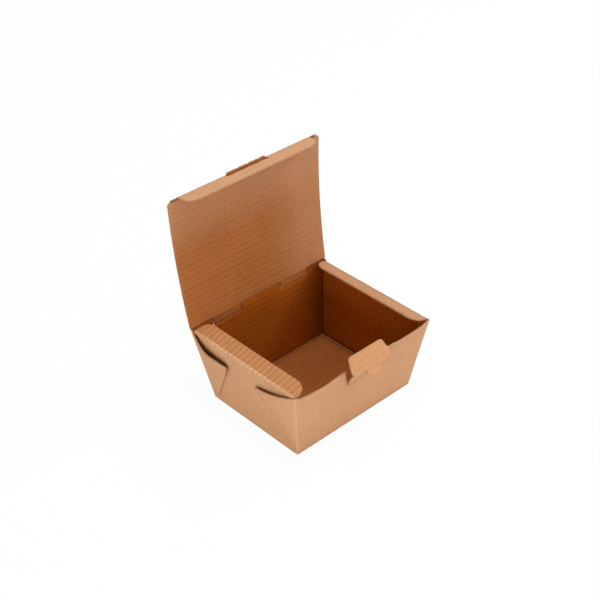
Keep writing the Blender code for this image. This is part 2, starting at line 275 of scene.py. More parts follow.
def shader(name, roughness):
    """A new material with its Principled shader, and a function that adds a node with some sockets set."""
    material = bpy.data.materials.new(name)
    material.use_nodes = True
    tree = material.node_tree
    principled = tree.nodes["Principled BSDF"]
    principled.inputs["Roughness"].default_value = roughness

    def add(kind, settings=(), **sockets):
        node = tree.nodes.new(kind)
        for key, value in dict(settings).items():
            setattr(node, key, value)
        for key, value in sockets.items():
            socket = node.inputs[int(key[1:])] if key[0] == "n" and key[1:].isdigit() else node.inputs[key]
            if isinstance(value, bpy.types.NodeSocket):
                tree.links.new(value, socket)
            else:
                socket.default_value = value
        return node

    return material, tree, principled, add


def maths(add, operation, first, second=0.5, third=0.5):
    """One Math node's result."""
    return add("ShaderNodeMath", {"operation": operation}, n0=first, n1=second, n2=third).outputs[0]


def spread(add, value, low, high, first=0.0, second=1.0):
    """One Map Range node's result: low to high becomes first to second."""
    return add("ShaderNodeMapRange", n0=value, n1=low, n2=high, n3=first, n4=second).outputs[0]


def noise(add, place, scale, detail, roughness):
    """One Noise Texture node's value."""
    return add("ShaderNodeTexNoise", Vector=place, Scale=scale, Detail=detail, Roughness=roughness).outputs[0]


def stretched(add, place, scale):
    """The place, stretched by a Mapping node."""
    return add("ShaderNodeMapping", {"vector_type": "POINT"}, Vector=place, Scale=scale).outputs[0]


def grey(add, value):
    """A colour with the same value in each channel."""
    return add("ShaderNodeCombineXYZ", n0=value, n1=value, n2=value).outputs[0]


def attribute(add, label):
    """The value of one attribute of the mesh."""
    return add("ShaderNodeAttribute", {"attribute_name": label, "attribute_type": "GEOMETRY"}).outputs["Fac"]


def blend_colour(add, share, first, second, mode="MIX"):
    """One colour Mix node's result."""
    settings = {"data_type": "RGBA", "blend_type": mode, "clamp_factor": True}
    return add("ShaderNodeMix", settings, n0=share, n6=first, n7=second).outputs[2]


def shade_of(tone, shares):
    """A tone with each channel multiplied by its share."""
    return tuple(share * part for share, part in zip(shares, tone)) + (1.0,)


# Colours that all papers share: a pale tone for wear and painted light, a painted highlight for the flute crests, and
# how much of the deep tone is left in lines and in creases and painted shade
worn_tone = (0.70, 0.46, 0.275, 1.0)
crest_highlight_tone = (0.60, 0.330, 0.165, 1.0)
line_shares = (0.48, 0.42, 0.36)
crease_and_shade_shares = (0.36, 0.24, 0.15)
fleck_shares = (1.2, 1.2, 1.2)


def kraft_liner(name, tones, line, flute_bump, crest_highlight=0.0, gloss=0.3):
    """Liner paper: mottled fibres, broken dark lines over the flute tips, painted highlights on the flute crests,
    flecks, pale wear with painted light and dark creases with painted shade.
    """
    colour, deep, pale = tones
    material, tree, principled, add = shader(name, 0.74)
    place = add("ShaderNodeUVMap", {"uv_map": "Sheet"}).outputs[0]
    cross = add("ShaderNodeSeparateXYZ", n0=place).outputs[1]
    body = add("ShaderNodeTexCoord").outputs["Object"]

    # Wandering flute lines, broken along their length
    wander = noise(add, place, 0.05, 3.0, 0.55)
    shifted = maths(add, "MULTIPLY_ADD", wander, 1.1, cross)
    turn = maths(add, "MULTIPLY", shifted, 2 * math.pi / flute_pitch)
    wave = maths(add, "COSINE", turn)
    broken = noise(add, stretched(add, place, (0.17, 0.42, 1.0)), 1.0, 3.0, 0.62)
    strength = spread(add, broken, 0.38, 0.62, 0.12, 0.9)
    hollow = spread(add, wave, -1.0, -0.88, 1.0, 0.0)
    lines = maths(add, "MULTIPLY", hollow, strength)
    # Painted highlights along the flute crests
    crest_highlights = maths(add, "MULTIPLY", spread(add, wave, 0.72, 0.95), spread(add, broken, 0.36, 0.56, 0.15, 1.0))

    # Fibres, flecks and clouds of tone
    clouds = noise(add, body, 26.0, 4.0, 0.6)
    fibres_place = stretched(add, place, (0.9, 3.2, 1.0))
    fibres = noise(add, fibres_place, 1.0, 5.0, 0.7)
    grain = noise(add, body, 1100.0, 3.0, 0.65)
    flecks = add("ShaderNodeTexVoronoi", {"feature": "F1"}, Vector=fibres_place, Scale=1.3, Randomness=1.0)
    fleck = spread(add, flecks.outputs["Distance"], 0.05, 0.16, 1.0, 0.0)
    pick = add("ShaderNodeSeparateXYZ", n0=flecks.outputs["Color"]).outputs
    dark_fleck = maths(add, "MULTIPLY", fleck, spread(add, pick[0], 0.85, 0.87, 0.0, 0.40))
    pale_fleck = maths(add, "MULTIPLY", fleck, spread(add, pick[1], 0.88, 0.90, 0.0, 0.45))
    ragged = spread(add, fibres, 0.34, 0.62, 0.45, 1.0)
    worn = maths(add, "MULTIPLY", attribute(add, "Worn"), ragged)
    creased = maths(add, "MULTIPLY", attribute(add, "Creased"), ragged)

    line_tone = shade_of(deep, line_shares)
    tone = blend_colour(add, spread(add, clouds, 0.34, 0.66), (*colour, 1.0), (*pale, 1.0))
    tone = blend_colour(add, spread(add, fibres, 0.36, 0.66, 0.0, 0.35), tone, (*deep, 1.0))
    tone = blend_colour(add, maths(add, "MULTIPLY", crest_highlights, crest_highlight), tone, crest_highlight_tone)
    tone = blend_colour(add, maths(add, "MULTIPLY", lines, line), tone, line_tone)
    tone = blend_colour(add, dark_fleck, tone, line_tone)
    tone = blend_colour(add, pale_fleck, tone, shade_of(pale, fleck_shares))
    # Creases and painted shade take the dark tone
    tone = blend_colour(add, creased, tone, shade_of(deep, crease_and_shade_shares))
    # Wear and painted light take the pale tone
    tone = blend_colour(add, worn, tone, worn_tone)
    speckle = grey(add, spread(add, grain, 0.3, 0.7, 0.82, 1.18))
    tone = blend_colour(add, 1.0, tone, speckle, "MULTIPLY")
    tree.links.new(tone, principled.inputs["Base Color"])

    tree.links.new(spread(add, fibres, 0.3, 0.7, 0.64, 0.82), principled.inputs["Roughness"])
    principled.inputs["Specular IOR Level"].default_value = gloss
    relief = maths(add, "MULTIPLY_ADD", grain, 0.35, maths(add, "MULTIPLY", fibres, 0.65))
    fine = add("ShaderNodeBump", Height=relief, Strength=0.30, Distance=0.00012).outputs[0]
    flutes = maths(add, "MULTIPLY_ADD", wave, 0.5, maths(add, "MULTIPLY", lines, -0.5))
    coarse = add("ShaderNodeBump", Height=flutes, Strength=flute_bump, Distance=0.00016, Normal=fine).outputs[0]
    tree.links.new(coarse, principled.inputs["Normal"])
    return material


def kraft_edge(name, paper, core, shade):
    """Cut edge: a liner on each side, the fluted layer as a wave between them and shaded hollows."""
    material, tree, principled, add = shader(name, 0.85)
    place = add("ShaderNodeUVMap", {"uv_map": "Sheet"}).outputs[0]
    cross = add("ShaderNodeSeparateXYZ", n0=place).outputs[1]
    body = add("ShaderNodeTexCoord").outputs["Object"]
    depth = attribute(add, "Depth")
    turn = maths(add, "MULTIPLY", cross, 2 * math.pi / flute_pitch)
    middle = maths(add, "MULTIPLY_ADD", maths(add, "COSINE", turn), -0.33, 0.5)
    away = maths(add, "ABSOLUTE", maths(add, "SUBTRACT", depth, middle))
    wave = spread(add, away, 0.07, 0.15, 1.0, 0.0)
    centred = maths(add, "ABSOLUTE", maths(add, "SUBTRACT", depth, 0.5))
    liners = spread(add, centred, 0.30, 0.37)
    fuzz = noise(add, body, 1900.0, 3.0, 0.7)
    crushed = noise(add, body, 240.0, 2.0, 0.5)
    closed = spread(add, crushed, 0.40, 0.62, 0.35, 0.85)
    solid = maths(add, "MAXIMUM", maths(add, "MAXIMUM", wave, liners), closed)
    tone = blend_colour(add, solid, (*shade, 1.0), (*core, 1.0))
    tone = blend_colour(add, maths(add, "MULTIPLY", liners, 0.9), tone, (*paper, 1.0))
    tone = blend_colour(add, 1.0, tone, grey(add, spread(add, fuzz, 0.3, 0.7, 0.84, 1.12)), "MULTIPLY")
    tree.links.new(tone, principled.inputs["Base Color"])
    principled.inputs["Specular IOR Level"].default_value = 0.2
    height = maths(add, "MULTIPLY_ADD", fuzz, 0.3, solid)
    bump = add("ShaderNodeBump", Height=height, Strength=0.6, Distance=0.00025)
    tree.links.new(bump.outputs[0], principled.inputs["Normal"])
    return material


# Papers, each as its middle, deep and pale tone. Only the outer and the inner liner are papers of their own: the other
# sets are copies of them, darker or lighter for the light on each part, which is painted shade and light
outer_tones = ((0.56, 0.290, 0.140), (0.46, 0.220, 0.098), (0.60, 0.322, 0.165))
# Tray walls, floor and lid inside are all the inner liner, a darker brown than the outer one; the walls' copy is
# darkened further as painted shade inside the tray, and the floor's and lid's copies are lighter as painted light
tray_tones = ((0.33, 0.072, 0.003), (0.24, 0.046, 0.002), (0.37, 0.090, 0.006))
floor_tones = ((0.37, 0.115, 0.022), (0.28, 0.079, 0.014), (0.41, 0.137, 0.033))
lid_tones = ((0.355, 0.106, 0.021), (0.26, 0.070, 0.012), (0.40, 0.132, 0.032))
# Painted shade: both end flaps and the tab are the outer liner, each copy darker and more orange for the light on it,
# the left flap most of all
left_flap_tones = ((0.46, 0.183, 0.060), (0.39, 0.142, 0.042), (0.49, 0.210, 0.076))
right_flap_tones = ((0.485, 0.248, 0.117), (0.40, 0.188, 0.081), (0.52, 0.275, 0.137))
tab_tones = ((0.54, 0.255, 0.110), (0.47, 0.215, 0.088), (0.57, 0.280, 0.126))
outside = kraft_liner("Kraft outer liner", outer_tones, 0.36, 0.10)
tray_inside = kraft_liner("Kraft tray liner", tray_tones, 0.85, 0.30, gloss=0.08)
tray_floor = kraft_liner("Kraft floor liner", floor_tones, 0.75, 0.30, gloss=0.15)
lid_inside = kraft_liner("Kraft lid liner", lid_tones, 0.80, 0.35, gloss=0.22)
shaded_washboard = kraft_liner("Kraft washboard liner", left_flap_tones, 0.30, 0.20, crest_highlight=0.62)
shaded_right_flap = kraft_liner("Kraft right flap liner", right_flap_tones, 0.36, 0.10)
tab_outside = kraft_liner("Kraft tab liner", tab_tones, 0.40, 0.15)
cut = kraft_edge("Kraft cut edge", (0.58, 0.32, 0.175), (0.50, 0.26, 0.130), (0.33, 0.155, 0.070))


# Folds of the tray: middle radius of the board at each, and rows or columns round it
fold_middle = 0.8
fold_turn = math.pi / 2 - wall_lean
fold_reach = fold_middle * math.tan(fold_turn / 2)
fold_rows = 6
floor_y = wall_y(half_board) - wall_thick / 2 - fold_reach
floor_x = wall_x(half_board) - 1.5 * wall_thick - fold_reach
corner_middle = 0.8
corner_columns = 5

# A liner on its own: neither rippled nor crushed
bare_liner = {"ripple": (0.0, 0.0), "crush": 1.0}


def fold_profile(edge, tops, spacing):
    """Rows of a wall from its fold up: way out from the edge of the floor, height, and distance along the sheet.

    The fold is an arc of the middle radius that turns from level to the lean of the wall, and the wall is straight.
    """
    turn = np.linspace(0.0, fold_turn, fold_rows)
    arc_out = fold_middle * np.sin(turn)
    arc_up = half_board + fold_middle * (1 - np.cos(turn))
    rise = stations(*[(start, end, spacing) for start, end in zip((arc_up[-1],) + tops[:-1], tops)])[1:]
    out = arc_out[-1] + (rise - arc_up[-1]) * math.tan(wall_lean)
    length = fold_middle * fold_turn + (rise - arc_up[-1]) / math.cos(wall_lean)
    return (
        edge + np.concatenate([arc_out, out]),
        np.concatenate([arc_up, rise]),
        edge + np.concatenate([fold_middle * turn, length]),
    )


def fold_crease(length, edge):
    """Dark crease a little way up the fold of a wall, from the distance along the sheet."""
    return 0.5 * bell(length[:, None] - edge - 0.9, 0.8)


def floor_sheet():
    """Flat floor: middle points at half a board, with a pair of pressed score lines beside each fold."""
    band, fine, coarse = 4.0, 0.4, 2.2
    near_score, far_score = 0.4, 2.5
    inner = floor_x - band
    x = stations((-floor_x, -inner, fine), (-inner, inner, coarse), (inner, floor_x, fine))
    y = steps(-floor_y, floor_y, fine)
    grid_y, grid_x = np.meshgrid(y, x, indexing="ij")
    points = np.stack([grid_x, grid_y, np.full_like(grid_x, half_board)], axis=2)
    inset = np.minimum(floor_x - np.abs(grid_x), floor_y - np.abs(grid_y))
    groove = bell(inset - near_score, 0.55) + bell(inset - far_score, 0.5)
    ridge = bell(inset - (near_score + far_score) / 2, 0.4)
    marks = {"sink": 0.25 * groove, "worn": 0.25 * ridge, "creased": 0.95 * groove}
    return sheet(points, grid_x, grid_y, (0, 0, -1), crush=0.8, paper=FLOOR, **marks)


# Glued corner flaps: the upper edge as shares of the way in and the way down, then length, drop and reach at the foot,
# how far the flap stands off the end panel and over what span, and how far that panel is pressed in above it
back_flap = {
    "edge": ((0.0, 0.0), (0.10, 0.34), (0.20, 0.66), (0.36, 0.88), (0.55, 0.97), (0.96, 1.0), (1.0, 1.14)),
    "length": 33.0,
    "drop": 14.6,
    "foot": 1.6,
    "stand": 2.9,
    "span": 40.0,
    "press": 0.95,
}
front_flap = {
    "edge": ((0.0, 0.0), (0.16, 0.26), (0.34, 0.50), (0.56, 0.74), (0.78, 0.92), (0.97, 1.05), (1.0, 1.18)),
    "length": 41.0,
    "drop": 14.6,
    "foot": 0.8,
    "stand": 1.7,
    "span": 66.0,
    "press": 0.40,
}


def reach_of(flap, z):
    """How far a corner flap reaches in from its corner at height z: straight from the foot to its tip, then the curve
    of its upper edge back to the corner at the rim."""
    heights = [rim_height - flap["drop"] * down for along, down in flap["edge"]]
    reach = [flap["length"] * along for along, down in flap["edge"]]
    return np.interp(z, [0.0] + heights[::-1], [flap["foot"]] + reach[::-1])


def stand_off(flap, way, z):
    """How far a corner flap stands away from the end panel: a half sine along it, eased in over its upper part."""
    below_tip, above_tip = 17.0, 2.0
    swing = np.sin(math.pi * np.clip(way / flap["span"], 0.0, 1.0) ** 0.75)
    risen = (z - (rim_height - flap["drop"]) + below_tip) / (below_tip + above_tip)
    return flap["stand"] * swing * ease(risen)


def pressed(sign, share, z):
    """How far the free edge of a corner flap is pressed down on the end panel, from its share of the way in.

    The back one is pressed only at its foot, the front one all along its lower edge, more and more towards it.
    """
    deepest, foot_top = 1.15, 9.0
    edge_top, edge_fade, edge_start = 49.0, 5.0, 0.4
    foot = deepest * ease((foot_top - z) / foot_top) * share
    if sign > 0:
        return foot
    edge = ease((edge_top - z) / edge_fade) * ease((share - edge_start) / (1 - edge_start))
    return np.maximum(foot, deepest * edge)


# Front wall: its top edge dips between each corner and the window, given as shares of the way in and the way down
dip_inwards = (0.0, 0.05, 0.12, 0.22, 0.35, 0.50, 0.62, 0.75, 0.87, 1.0)
dip_downwards = (0.0, 0.33, 0.52, 0.72, 0.88, 0.98, 1.0, 0.93, 0.78, 0.66)
dip_depth, dip_inner = 5.4, 19.5
window_foot, window_half, window_half_top = 42.9, 14.1, 18.6
hole_inner, hole_outer, hole_foot = 19.7, 46.3, 55.5
rim_half = wall_x(rim_height) - wall_thick
row_spacing = 0.62
flap_columns = 26


def corner_tuck(z):
    """How far a corner is drawn in at its foot: half the rounding of the fold, a quarter circle below its radius."""
    radius = fold_middle + half_board
    below = np.clip(radius - z, 0.0, radius)
    return (radius - np.sqrt(radius**2 - below**2)) / 2


def corner_half(z):
    """Half width to the start of a corner's quarter circle."""
    return wall_x(z) - wall_thick / 2 - corner_middle


def level_top(x):
    """Height of the back wall's top edge: level with the rim."""
    return np.full(len(x), rim_height)


def front_top(x):
    """Height of the front wall's top edge: the rim less the dip, read from its table across each half."""
    inward = np.clip((rim_half - np.abs(x)) / (rim_half - dip_inner), 0.0, 1.0)
    return rim_height - dip_depth * np.interp(inward, dip_inwards, dip_downwards)


def lowered_corner(points):
    """How far the front right corner hangs below the rim: eased in along X, with the cube of the height."""
    most, start, over = 1.5, 40.0, 24.0
    return most * ease((points[..., 0] - start) / over) * (points[..., 2] / rim_height) ** 3


def long_wall(sign, columns, opening_foot, top_of, flap, upright, slant_half=None):
    """Front or back wall with its fold and its two corner flaps, as one sheet bent round two corners.

    Rows climb the wall. Columns go along a corner flap, round a quarter circle, across the wall, round the other
    corner and along the other flap. Above the foot of the openings the height is shared out up to the top edge.
    Columns stand upright across the middle and lean with the corners beyond it, both given by upright.
    """
    out, up, length = fold_profile(floor_y, (opening_foot, rim_height), row_spacing)
    fixed = int(np.argmin(np.abs(up - opening_foot)))
    z = np.repeat(up[:, None], len(columns), axis=1)
    above = (up[fixed:] - opening_foot) / (rim_height - opening_foot)
    z[fixed:] = opening_foot + above[:, None] * (top_of(columns)[None, :] - opening_foot)
    settled = np.clip((np.abs(columns) - upright[0]) / (upright[1] - upright[0]), 0.0, 1.0)
    x = columns * (1 - settled) + settled * columns / rim_half * corner_half(z)
    if slant_half:
        slant_fade = 30.0
        open_share = np.clip((z - opening_foot) / (rim_height - opening_foot), 0.0, 1.0)
        near = np.clip(1 - (np.abs(columns) - window_half) / slant_fade, 0.0, 1.0) * np.sign(columns)
        x = x + (slant_half - window_half) * open_share * near
    y_out = np.where(np.arange(len(up))[:, None] < fold_rows, out[:, None], wall_y(z) - wall_thick / 2)
    wall = np.stack([x, sign * y_out, z], axis=2)

    side_foot = 0.4
    side_z = up.copy()
    side_z[:fold_rows] = np.linspace(side_foot, up[fold_rows - 1], fold_rows)
    corner_x = corner_half(side_z) - corner_tuck(side_z)
    corner_y = wall_y(side_z) - wall_thick / 2 - corner_middle - corner_tuck(side_z)
    angle = np.linspace(0.0, math.pi / 2, corner_columns + 2)[1:-1]
    share = np.linspace(0.0, 1.0, flap_columns)[1:]
    way = share * reach_of(flap, side_z)[:, None]
    thinner = pressed(sign, share, side_z[:, None])
    loose = stand_off(flap, way, side_z[:, None]) - thinner / 2
    sides = []
    for end in (-1, 1):
        arc_x = end * (corner_x[:, None] + corner_middle * np.sin(angle))
        arc_y = sign * (corner_y[:, None] + corner_middle * np.cos(angle))
        flap_x = end * (corner_x[:, None] + corner_middle + loose)
        flap_y = sign * (corner_y[:, None] - way)
        flat_x = np.concatenate([arc_x, flap_x], axis=1)
        flat_y = np.concatenate([arc_y, flap_y], axis=1)
        sides.append(np.stack([flat_x, flat_y, np.repeat(side_z[:, None], flat_x.shape[1], axis=1)], axis=2))
    left, right = sides[0][:, ::-1], sides[1]
    points = np.concatenate([left, wall, right], axis=1)
    if sign < 0:
        points[..., 2] -= lowered_corner(points)
    thick = np.full(points.shape[:2], board)
    thick[:, : flap_columns - 1] -= thinner[:, ::-1]
    thick[:, 1 - flap_columns :] -= thinner
    side_count = left.shape[1]
    step = np.linalg.norm(np.diff(points, axis=1), axis=2)
    run = np.concatenate([np.zeros((len(up), 1)), np.cumsum(step, axis=1)], axis=1)
    run = run - run[:, [run.shape[1] // 2]]
    cross = sign * (length[:, None] + (points[..., 2] - up[:, None]))
    mid_corner = corner_columns // 2
    corners = (side_count - 1 - mid_corner, side_count + len(columns) + mid_corner)
    # Painted shade on the inner liner: a dark line where the wall meets an end panel, and a wider fall of painted shade
    # from that corner, strongest and broadest at the right end of the back wall
    corner_room = wall_x(points[..., 2]) - 2 * wall_thick - np.abs(points[..., 0])
    far_end = (sign > 0) & (points[..., 0] > 0)
    corner_shade, corner_shade_width = np.where(far_end, 0.66, 0.32), np.where(far_end, 18.0, 11.0)
    marks = {
        "worn": 0.22 * sum(bell(run - run[:, [corner]], 0.4) for corner in corners),
        "creased": fold_crease(length, floor_y),
        "inner_shade": np.maximum(0.8 * bell(corner_room, 0.9), corner_shade * bell(corner_room, corner_shade_width)),
    }
    return {"points": points, "run": run, "cross": cross, "thick": thick, **marks}, side_count, fixed


def wall_board(parts, opened, columns, side_count, fixed):
    """The sheet of a wall: the cells over each opened stretch of columns are left out from the fixed row up."""
    keep = np.ones(np.subtract(parts["points"].shape[:2], 1), bool)
    for low, high in opened:
        first, last = [side_count + int(np.argmin(np.abs(columns - place))) for place in (low, high)]
        keep[fixed:, first:last] = False
    round_corner = wall_x(0.0) - 3
    away = parts["points"] * np.array([1.0, 1.0, 0.0])
    away[..., 0] = np.where(np.abs(away[..., 0]) > round_corner, away[..., 0] * 0.5, 0.0)
    return sheet(outer=away, keep=keep, **parts)


def front_wall():
    """Front wall: its top edge dips, and the window of the lock tab is left out between two slanting cuts."""
    marks = (-rim_half, -58.0, -window_half, window_half, 58.0, rim_half)
    spacing = (0.7, 1.4, 1.4, 1.4, 0.7)
    columns = stations(*zip(marks[:-1], marks[1:], spacing))
    parts, sides, fixed = long_wall(-1, columns, window_foot, front_top, front_flap, (30.0, 60.0), window_half_top)
    return wall_board(parts, [(-window_half, window_half)], columns, sides, fixed)


def back_wall():
    """Back wall: level top edge at the hinge, with the two holes that the stubs of the lid leave."""
    marks = (-rim_half, -60.0, -hole_outer, -hole_inner, hole_inner, hole_outer, 60.0, rim_half)
    spacing = (0.7, 1.6, 1.6, 1.6, 1.6, 1.6, 0.7)
    columns = stations(*zip(marks[:-1], marks[1:], spacing))
    parts, sides, fixed = long_wall(1, columns, hole_foot, level_top, back_flap, (50.0, 62.0))
    holes = [(-hole_outer, -hole_inner), (hole_inner, hole_outer)]
    return wall_board(parts, holes, columns, sides, fixed)


def behind_flaps(y, z):
    """Where an end panel meets the free upper edges of its corner flaps: how far its outside is pressed in above
    them, and how much painted shade it gets from them, which is full just behind an edge and fades out above it."""
    most_pressed, press_height = 0.95, 1.5
    press, shade = 0.0, 0.0
    for sign, flap in ((1, back_flap), (-1, front_flap)):
        way = wall_y(z) - sign * y
        above = z - rim_height + flap["drop"] * np.interp(way / flap["length"], *zip(*flap["edge"]))
        near = ease(way / 4.0)
        higher = above - press_height
        band = bell(np.minimum(higher, 0.0), 3.5) * bell(np.maximum(higher, 0.0), 3.0)
        press = press + flap["press"] * band * near * ease((flap["length"] + 5.0 - way) / 8.0)
        # This glow is painted shade: a weak darkening that fades out above the flap's edge
        glow = 0.22 * flap["press"] * bell(np.maximum(above, 0.0), 4.0)
        fade = np.maximum(ease((flap["press"] + 0.1 - above) / 0.9), glow)
        shade = np.maximum(shade, fade * near * ease((flap["length"] + 0.5 - way) / 2.5) * ease((above + 6.0) / 2.0))
    return np.minimum(press, most_pressed), shade


def end_wall(end):
    """End panel with its fold: rows climb from the floor, columns run between the front and back walls.

    Its upright edges curl in towards the tray by a parabola over their last few millimetres, its foot swells on
    the outside, level with the corner flaps, and above them its outside is pressed in.
    """
    edge_gap = 0.15
    most_curl, curl_width, curl_top = 0.55, 4.5, 50.5
    most_swell, swell_top = 1.8, 7.0
    out, up, length = fold_profile(floor_x, (rim_height - panel_drop,), 1.0)
    share = steps(-1.0, 1.0, 0.012)
    y = share * (wall_y(up) - wall_thick - edge_gap)[:, None]
    room = (wall_y(up) - wall_thick)[:, None] - np.abs(y)
    curl_rows = (ease(up / 6.0) * ease((curl_top - up) / 6.0))[:, None]
    curl = most_curl * np.clip(1 - room / curl_width, 0.0, 1.0) ** 2 * curl_rows
    thinner, shade = behind_flaps(y, up[:, None])
    begun = np.clip((out[:, None] - floor_x) / fold_middle, 0.0, 1.0)
    swell = most_swell * begun * ease((swell_top - up[:, None]) / 6.0) * ease((room + 1.0) / 3.0)
    way_out = out[:, None] - curl + (swell - thinner) / 2
    points = np.stack([end * way_out, y, np.broadcast_to(up[:, None], y.shape)], axis=2)
    # A crease at the fold, and painted shade along the upright edges where the panel meets the walls; the outside also
    # gets painted shade behind and just above the corner flaps
    creased = np.maximum(fold_crease(length, floor_x), 0.9 * bell(room, 0.8))
    run, cross = end * length[:, None], share * 50.0 + 0 * y
    return sheet(points, run, cross, (end, 0, 0), thick=board + swell - thinner, creased=creased, shaded=shade)


def end_fold(end, bulge):
    """Outer liner carried over the fold of an end flap: an arc about the flap's axis, swollen once per flute.

    The swelling is a half wave raised to a power under 1, so the flutes meet in sharp notches. It fades away at both
    ends of the arc and of the fold. The foot of the arc lies flat on the end panel.
    """
    paper_middle, paper_thick = 1.72, 0.1
    lift, foot_gap = 0.08, 0.06
    bead_half, bead_fade = 42.0, 8.0
    y = steps(flap_front_end, flap_back_end, 0.3)
    turn = np.radians(np.concatenate([np.linspace(-48, -20, 5), np.linspace(-14, 84, 20)]))[:, None]
    hump = np.abs(np.cos(math.pi * y / flute_pitch)) ** 0.6
    fade = ease((turn + 0.35) / 0.5) * ease((1.25 - turn) / 0.4)
    ends = ease((bead_half - np.abs(y)) / bead_fade)
    radius = paper_middle + lift * fade + bulge * hump * fade * ends
    up = radius * np.sin(turn)
    out = radius * np.cos(turn)
    face = wall_x(flap_axis_z + up) - wall_thick - flap_axis_x + foot_gap
    out = np.where(turn < -0.25, np.minimum(out, face), out)
    points = np.stack([end * (flap_axis_x + out), np.broadcast_to(y, up.shape), flap_axis_z + up], axis=2)
    worn = np.clip(2.2 * bell(turn - 0.9, 0.34) * ends * (hump - 0.55) * (bulge > 0.2), 0, 1)
    return sheet(points, radius * turn, y, (end * 0.7, 0, 0.7), thick=paper_thick, worn=worn, **bare_liner)


foot_root_y, foot_root_z = -(wall_y(window_foot) - wall_thick / 2), window_foot
foot_slope = math.atan2(foot_root_y - tab_crease_y, tab_crease_z - foot_root_z)
foot_length = math.hypot(foot_root_y - tab_crease_y, tab_crease_z - foot_root_z) - half_board - 0.2
foot_bend = 2.6
mouth_half, mouth_depth = tongue_half + play, tongue_length - half_board


def tab_foot():
    """Foot of the lock tab: leaves the wall in a soft bend and climbs outwards to the crease.

    Its upper edge is straight but for the half ellipse that the tongue of the tab leaves, and its sides spread from
    the width of the window's foot to the width of the crease.
    """
    side_gap = 0.35
    mouth = mouth_half * -np.cos(np.linspace(0.0, math.pi, 29))
    side = np.linspace(mouth_half, tab_crease_half, 14)[1:]
    x = np.concatenate([-side[::-1], mouth, side])
    dip = np.clip(1 - (x / mouth_half) ** 2, 0.0, 1.0) ** 0.5
    along = np.linspace(0.0, 1.0, 28)[:, None] * (foot_length - mouth_depth * dip)
    fine = np.linspace(0.0, foot_length, 400)
    turn = wall_lean + (foot_slope - wall_lean) * ease(fine / foot_bend)
    pace = fine[1] - fine[0]
    fine_y = np.concatenate([[0.0], np.cumsum(np.sin(turn[:-1]) * pace)])
    fine_z = np.concatenate([[0.0], np.cumsum(np.cos(turn[:-1]) * pace)])
    y = foot_root_y - np.interp(along, fine, fine_y)
    z = foot_root_z + np.interp(along, fine, fine_z)
    edge = window_half - side_gap + (tab_crease_half - window_half + side_gap) * along / foot_length
    beyond = np.clip((np.abs(x) - mouth_half) / (tab_crease_half - mouth_half), 0.0, 1.0)
    x = np.sign(x) * (np.minimum(np.abs(x), mouth_half) + beyond * (edge - mouth_half))
    points = np.stack([x, y, z], axis=2)
    # Painted highlight on the outer liner over the last few millimetres below the crease, and a painted shadow dot at
    # the left end of the tongue's cut
    faded = ease((along - foot_length + 7.0) / 5.0)
    cut_end_shadow = 0.9 * bell(np.hypot(x + mouth_half + 0.1, along - foot_length + 0.5), 0.75)
    cross = -(wall_y(0.0) + window_foot + along)
    return sheet(points, x, cross, (0, -1, -0.5), ripple=(0.03, 0.04), faded=faded - cut_end_shadow, shaded=cut_end_shadow)


for name, boards in (
    ("floor_and_end_panels", [floor_sheet(), end_wall(-1), end_wall(1)]),
    ("front_and_back_walls", [front_wall(), back_wall(), tab_foot()]),
):
    tray = piece(name, boards, (outside, tray_inside, cut, tray_floor))
    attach(tray, "tray")
    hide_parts("tray")

for end, side_name, bulge in ((-1, "left", 0.35), (1, "right", 0.08)):
    fold_liner = piece(side_name + "_fold_liner", [end_fold(end, bulge)], (outside, outside, cut))
    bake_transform(fold_liner)


# Lid: where its panel ends at the fold of the lip, and the distance along the sheet at its hinge
lid_end = lid_length - half_board - play
hinge_cross = rim_height + wall_y(0.0)


def lid_place(x, along, front):
    """A point of the lid at rest, from its axis: along the chord and towards the front, both turned by the lean."""
    y = lid_axis_y + along * math.sin(lid_lean) - front * math.cos(lid_lean)
    z = lid_axis_z + along * math.cos(lid_lean) + front * math.sin(lid_lean)
    return np.stack(np.broadcast_arrays(x, y, z), axis=2)


def lid_half(along):
    """Half width of the lid: straight from the hinge to the front edge, with its front corners cut off."""
    half = lid_hinge_half + (lid_front_half - lid_hinge_half) * np.maximum(along, 0.0) / lid_length
    return half - lid_corner_inset * np.clip((along - lid_end + lid_corner_drop) / lid_corner_drop, 0.0, 1.0)


def bow(along):
    """How far the lid stands behind its chord: a parabola that is full at mid length."""
    share = np.clip(along / lid_length, 0.0, 1.0)
    return 4 * lid_bow * share * (1 - share)


def lid_panel():
    """The lid's panel: rows along its length, columns from edge to edge, set back by the bow. Its paper gets painted
    light: paler towards the top, and a painted sheen towards its right edge, strongest low down.
    """
    corner_start = lid_end - lid_corner_drop
    along = stations((-0.6, corner_start, 0.62), (corner_start, lid_end, 0.45))[:, None]
    share = np.linspace(-1.0, 1.0, 75)
    x = share * lid_half(along)
    points = lid_place(x, along, -bow(along))
    # Painted light: the paper grows paler towards the lid's top, and a painted sheen lies towards its right edge,
    # strongest low down
    high = ease((along - 50.0) / 45.0)
    sides = np.minimum(share**2, 0.45) * np.where(share > 0, 0.50 - 0.34 * high, 0.03)
    return sheet(points, x, hinge_cross + along, (0, 1, 0), ripple=(0.03, 0.06), worn=0.29 * high + sides)


def lid_stub(end):
    """One stub of lid board below the hinge: straight on one side, drawn in on the other to leave a narrow slit."""
    stub_end, stub_inner, stub_outer = -6.8, 19.95, 46.05
    slit_width, slit_length = 0.8, 6.6
    along = steps(0.0, stub_end, 0.5)[:, None]
    low, high = sorted((end * stub_inner, end * stub_outer))
    low = low + slit_width * np.clip(-along / slit_length, 0.0, 1.0) ** 2
    x = low + (high - low) * np.linspace(0.0, 1.0, 24)
    points = lid_place(x, along, 0.0)
    return sheet(points, x, hinge_cross + along, (0, 1, 0), crush=0.9)


